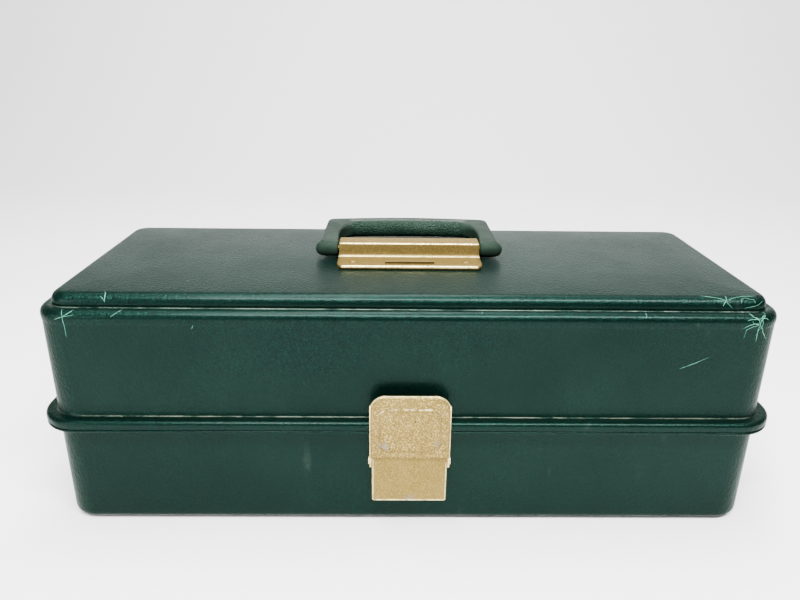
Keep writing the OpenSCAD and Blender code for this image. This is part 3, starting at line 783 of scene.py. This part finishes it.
def handle_bracket():
    """The pressed plate over the axle, with rounded edges at both ends."""
    rows = bracket_profile()
    columns = 28
    foot = TOP_Z + 0.02
    verts, faces = [], []
    for y, z in rows:
        w = bracket_half_width(y, z)
        drop = 0.55 if z > TOP_Z + 0.8 else 0.0
        end = [(w - 0.6, z - 0.04), (w - 0.03, z - drop), (w, (z + foot) / 2), (w, foot)]
        line = [(-x, h) for x, h in reversed(end)]
        line += [(-w + 0.6 + (2 * w - 1.2) * i / columns, z) for i in range(1, columns)]
        verts += [(x, y, min(h, z)) for x, h in line + end]
    n = len(verts) // len(rows)
    for k in range(len(rows) - 1):
        for i in range(n - 1):
            faces.append((k * n + i, k * n + i + 1, (k + 1) * n + i + 1, (k + 1) * n + i))
    left = [k * n for k in range(len(rows))]
    right = [k * n + n - 1 for k in reversed(range(len(rows)))]
    front_row = list(range(1, n - 1))
    back_row = list(range((len(rows) - 1) * n + n - 2, (len(rows) - 1) * n, -1))
    faces.append(tuple(left + back_row[::-1] + right + front_row[::-1]))
    return new_piece("bracket_plate", verts, faces, "lid", GOLD, ["handle_bracket"])


def rounded_box(name, lo, hi, body, material, width):
    """A box between two corners, with its edges rounded."""
    points = [(lo[0], lo[1]), (hi[0], lo[1]), (hi[0], hi[1]), (lo[0], hi[1])]
    return bevel(new_piece(name, *prism(points, "z", lo[2], hi[2]), body, material), width, 4, 30)


def domed(x, y, z, r, high, steps=24):
    """A low dome on a level face, closed underneath."""
    rows = ((r, -0.4), (r, 0.12 * high), (r * 0.96, 0.34 * high), (r * 0.84, 0.62 * high),
            (r * 0.62, 0.84 * high), (r * 0.34, 0.96 * high), (r * 0.1, high))
    circle = [2 * math.pi * i / steps for i in range(steps)]
    return lofted([[(x + out * math.cos(a), y + out * math.sin(a), z + up) for a in circle]
                   for out, up in rows])


handle()
handle_bracket()
rounded_box("blank_bar", (-BAR_HALF_W, BAR_FRONT_Y, FLANGE_Z - 0.3), (BAR_HALF_W, BAR_BACK_Y, BAR_TOP),
            "lid", GOLD, 0.3)
heads = [domed(x, AXLE_Y + y, FLANGE_Z, 3.0, 0.8)
         for x in (-RIVET_X, RIVET_X) for y in (-RIVET_Y, RIVET_Y)]
new_piece("bracket_rivet_heads", *joined(heads), "lid", GOLD)


# ---------------------------------------------------------------- latch

def lever_half_width(z):
    """Half the cover's width at a height, narrowing round its top corners."""
    r = LEVER_CORNER_R
    up = max(0.0, z - LEVER_TOP + r)
    return LEVER_HALF_W - r + math.sqrt(max(0.0, r * r - up * up))


def pad_height(x, z):
    """Raised plain pad with soft shoulders and round corners."""
    dx = abs(x) - PAD_HALF_W + PAD_R
    dz = abs(z - PAD_Z) - PAD_HALF_H + PAD_R
    away = PAD_R - math.hypot(max(dx, 0.0), max(dz, 0.0)) - min(max(dx, dz), 0.0)
    return 0.85 * smooth_step(away)


def cover_return():
    """The cover's edge folded back towards the case, over the top and down both sides to the rim."""
    low = RIM_TOP + 2
    heights = [low + (LEVER_TOP - low) * math.sin(math.pi / 2 * i / 26) for i in range(27)]
    side = [(lever_half_width(z), z) for z in heights]
    top = [(side[-1][0] * (1 - i / 12), LEVER_TOP) for i in range(1, 13)]
    edge = side + top + [(-x, z) for x, z in reversed(side + top[:-1])]
    fold = ((0.8, 0.0), (1.9, 0.0), (2.2, 0.3), (2.2, 0.8), (1.9, 1.1), (0.8, 1.1))
    rings = []
    for x, z in edge:
        inward = Vector((-x, 62.0 - z)).normalized()
        rings.append([(x + inward.x * depth, COVER_Y + back, z + inward.y * depth) for back, depth in fold])
    return lofted(rings)


def cover_face():
    """The cover's sheet: its front with the raised pad, its back and the edge between them."""
    rows, columns = 56, 60
    turn = math.pi / 2 * 0.96
    n = columns + 1
    front = []
    for k in range(rows + 1):
        z = LEVER_LOW + (LEVER_TOP - LEVER_LOW) * math.sin(math.pi / 2 * k / rows)
        w = lever_half_width(z)
        for i in range(n):
            x = w * math.sin((-1 + 2 * i / columns) * turn) / math.sin(turn)
            side = min(w - abs(x), LEVER_TOP - z)
            rolled = (1 - smooth_step(side / 2.2)) ** 1.5
            front.append((x, COVER_Y + rolled - pad_height(x, z), z))
    behind = [(x * 0.995, max(y + 1.0, COVER_Y + 1.1), z) for x, y, z in front]
    shell = len(front)
    faces = []
    for k in range(rows):
        for i in range(columns):
            a = k * n + i
            faces.append((a, a + 1, a + n + 1, a + n))
            faces.append((shell + a, shell + a + n, shell + a + n + 1, shell + a + 1))
    loop = list(range(n))
    loop += [k * n + columns for k in range(1, rows + 1)]
    loop += [rows * n + i for i in range(columns - 1, -1, -1)]
    loop += [k * n for k in range(rows - 1, 0, -1)]
    for i, a in enumerate(loop):
        b = loop[(i + 1) % len(loop)]
        faces.append((a, shell + a, shell + b, b))
    return front + behind, faces


def latch_cover():
    """Pressed sheet: flat face, raised pad, edges rolled back and an ear down each side to the pivot."""
    ear = arc(0.0, 0.0, 4.1, 180, 255, 5) + arc(0.0, 0.0, 3.8, 270, 360, 6)
    ear += [(2.4, 14.0), (1.6, 16.2), (0.0, 17.2), (-2.6, 18.0), (-3.0, 20.0), (-3.2, 38.0)]
    ear += [(-4.6, 38.0), (-4.6, 5.5), (-4.4, 4.4), (-4.1, 3.2)]
    ear = [(LATCH_Y + y, LATCH_Z + z) for y, z in ear]
    parts = [cover_face(), cover_return()]
    parts.append(prism(ear, "x", LEVER_HALF_W - 1, LEVER_HALF_W))
    parts.append(prism(ear, "x", -LEVER_HALF_W, 1 - LEVER_HALF_W))
    return new_piece("latch_cover", *joined(parts), "latch", GOLD, ["latch_lever"])


def latch_channel():
    """Folded channel with rounded bends, open at the top and bottom, and the plate behind it."""
    wall_y, sheet, bend_r = -CASE_HALF_D, 1.1, 1.6
    outer = [(CHANNEL_HALF_W, wall_y)]
    outer += arc(CHANNEL_HALF_W - bend_r, CHANNEL_Y + bend_r, bend_r, 0, -90, 6)
    outer += [(-x, y) for x, y in reversed(outer)]
    shrink = (CHANNEL_HALF_W - sheet) / CHANNEL_HALF_W
    inside_y = CHANNEL_Y + sheet
    inner = [(x * shrink, max(y, inside_y) if abs(x) > 20 else inside_y) for x, y in outer]
    channel = prism(outer + inner[::-1], "z", CHANNEL_LOW, CHANNEL_TOP)
    bevel(new_piece("latch_channel", *channel, "base", GOLD, ["latch_bracket"]), 0.3, 2, 50)
    back_w = CHANNEL_HALF_W - 1.2
    rounded_box("channel_back", (-back_w, wall_y - 1.1, CHANNEL_LOW + 0.2),
                (back_w, wall_y - 0.02, CHANNEL_TOP - 0.2), "base", GOLD, 0.25)


latch_cover()
latch_channel()


# ---------------------------------------------------------------- metalwork kept from the CAD

def dress(names, material, width=0.0):
    """Gives CAD nodes a finished material and, where asked, small rounded edges."""
    for name in names:
        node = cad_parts[name]
        node.data.materials.clear()
        node.data.materials.append(material)
        if "custom_normal" in node.data.attributes:
            node.data.attributes.remove(node.data.attributes["custom_normal"])
        for polygon in node.data.polygons:
            polygon.use_smooth = True
        weld = node.modifiers.new("weld", "WELD")
        weld.merge_threshold = 1e-6
        if width:
            bevel(node, width, 2, 30)
        else:
            split = node.modifiers.new("edges", "EDGE_SPLIT")
            split.split_angle = math.radians(30)


PLATES = ("front_arm", "rear_arm", "arm_bracket", "link_bracket", "lid_link")
dress([f"{kind}_{side}" for kind in PLATES for side in ("left", "right")], STEEL, 0.2)
dress(["hinge_pins", "latch_bracket_rivets", "keeper_rivets", "arm_pivot_studs",
       "lower_tray_rivets", "upper_tray_rivets", "upper_tray_link_studs", "lid_link_studs"], STEEL, 0.15)
dress(["latch_hook", "keeper_plate"], STEEL, 0.15)
dress(["bracket_rivets", "arm_bracket_rivets", "link_bracket_rivets", "handle_axle", "latch_pin"], GOLD, 0.3)
dress(["lower_tray", "upper_tray"], TRAY, 0.5)


# ---------------------------------------------------------------- stage, light and camera

def stage():
    """Pale floor that curves up into a backdrop."""
    material = bpy.data.materials.new("paper")
    material.use_nodes = True
    shader = material.node_tree.nodes["Principled BSDF"]
    shader.inputs["Base Color"].default_value = rgb(232, 231, 232)
    shader.inputs["Roughness"].default_value = 0.75
    points = [(-2.5, 0.0)] + arc(0.9, 0.6, 0.6, -90, 0, 12) + [(1.5, 3.0)]
    verts, faces = [], []
    for y, z in points:
        verts += [(-4.0, y, z), (4.0, y, z)]
    for k in range(len(points) - 1):
        faces.append((2 * k, 2 * k + 1, 2 * k + 3, 2 * k + 2))
    mesh = bpy.data.meshes.new("paper_sweep")
    mesh.from_pydata(verts, [], faces)
    for polygon in mesh.polygons:
        polygon.use_smooth = True
    floor = bpy.data.objects.new("paper_sweep", mesh)
    mesh.materials.append(material)
    bpy.context.scene.collection.objects.link(floor)


def area_light(name, at, aim, size, watts, color=(1, 1, 1)):
    """A rectangular light aimed at a point."""
    data = bpy.data.lights.new(name, "AREA")
    data.shape = "RECTANGLE"
    data.size, data.size_y = size
    data.energy = watts
    data.color = color
    lamp = bpy.data.objects.new(name, data)
    lamp.location = at
    lamp.rotation_mode = "QUATERNION"
    lamp.rotation_quaternion = (Vector(aim) - Vector(at)).to_track_quat("-Z", "Y")
    bpy.context.scene.collection.objects.link(lamp)


def camera():
    """At the viewpoint of the reference view: height, pitch, slight yaw and roll."""
    place = (-0.01178, -0.4213, 0.27388)
    pitch, yaw, roll = 0.3627, 0.01536, 0.01235
    forward = Vector((math.sin(yaw) * math.cos(pitch), math.cos(yaw) * math.cos(pitch), -math.sin(pitch)))
    right = Vector((math.cos(yaw), -math.sin(yaw), 0))
    up = right.cross(forward)
    tilted_right = math.cos(roll) * right + math.sin(roll) * up
    tilted_up = -math.sin(roll) * right + math.cos(roll) * up
    data = bpy.data.cameras.new("camera")
    data.sensor_width = 36
    data.lens = 30.6
    data.clip_start = 0.01
    cam = bpy.data.objects.new("camera", data)
    turn = Matrix((tilted_right, tilted_up, -forward)).transposed().to_4x4()
    cam.matrix_world = Matrix.Translation(place) @ turn
    bpy.context.scene.collection.objects.link(cam)
    bpy.context.scene.camera = cam


def lights():
    """Dim surroundings, a broad light above, one on the backdrop, a strip for the rolls, one at the left."""
    world = bpy.data.worlds.new("studio")
    world.use_nodes = True
    background = world.node_tree.nodes["Background"]
    background.inputs["Color"].default_value = (0.94, 0.96, 1.0, 1)
    background.inputs["Strength"].default_value = 0.22
    bpy.context.scene.world = world
    area_light("overhead", (-0.1, 0.05, 1.3), (0, 0, 0), (1.4, 0.3), 45)
    area_light("backdrop", (0.5, 0.5, 1.9), (0.3, 1.5, 0.5), (3.0, 0.8), 57)
    area_light("strip", (0.1, -0.62, 1.0), (0, 0, 0.1), (1.1, 0.1), 62)
    area_light("front_left", (-0.95, -0.95, 0.4), (-0.15, 0, 0.1), (0.6, 0.5), 13, (1.0, 0.99, 0.97))


stage()
lights()
camera()
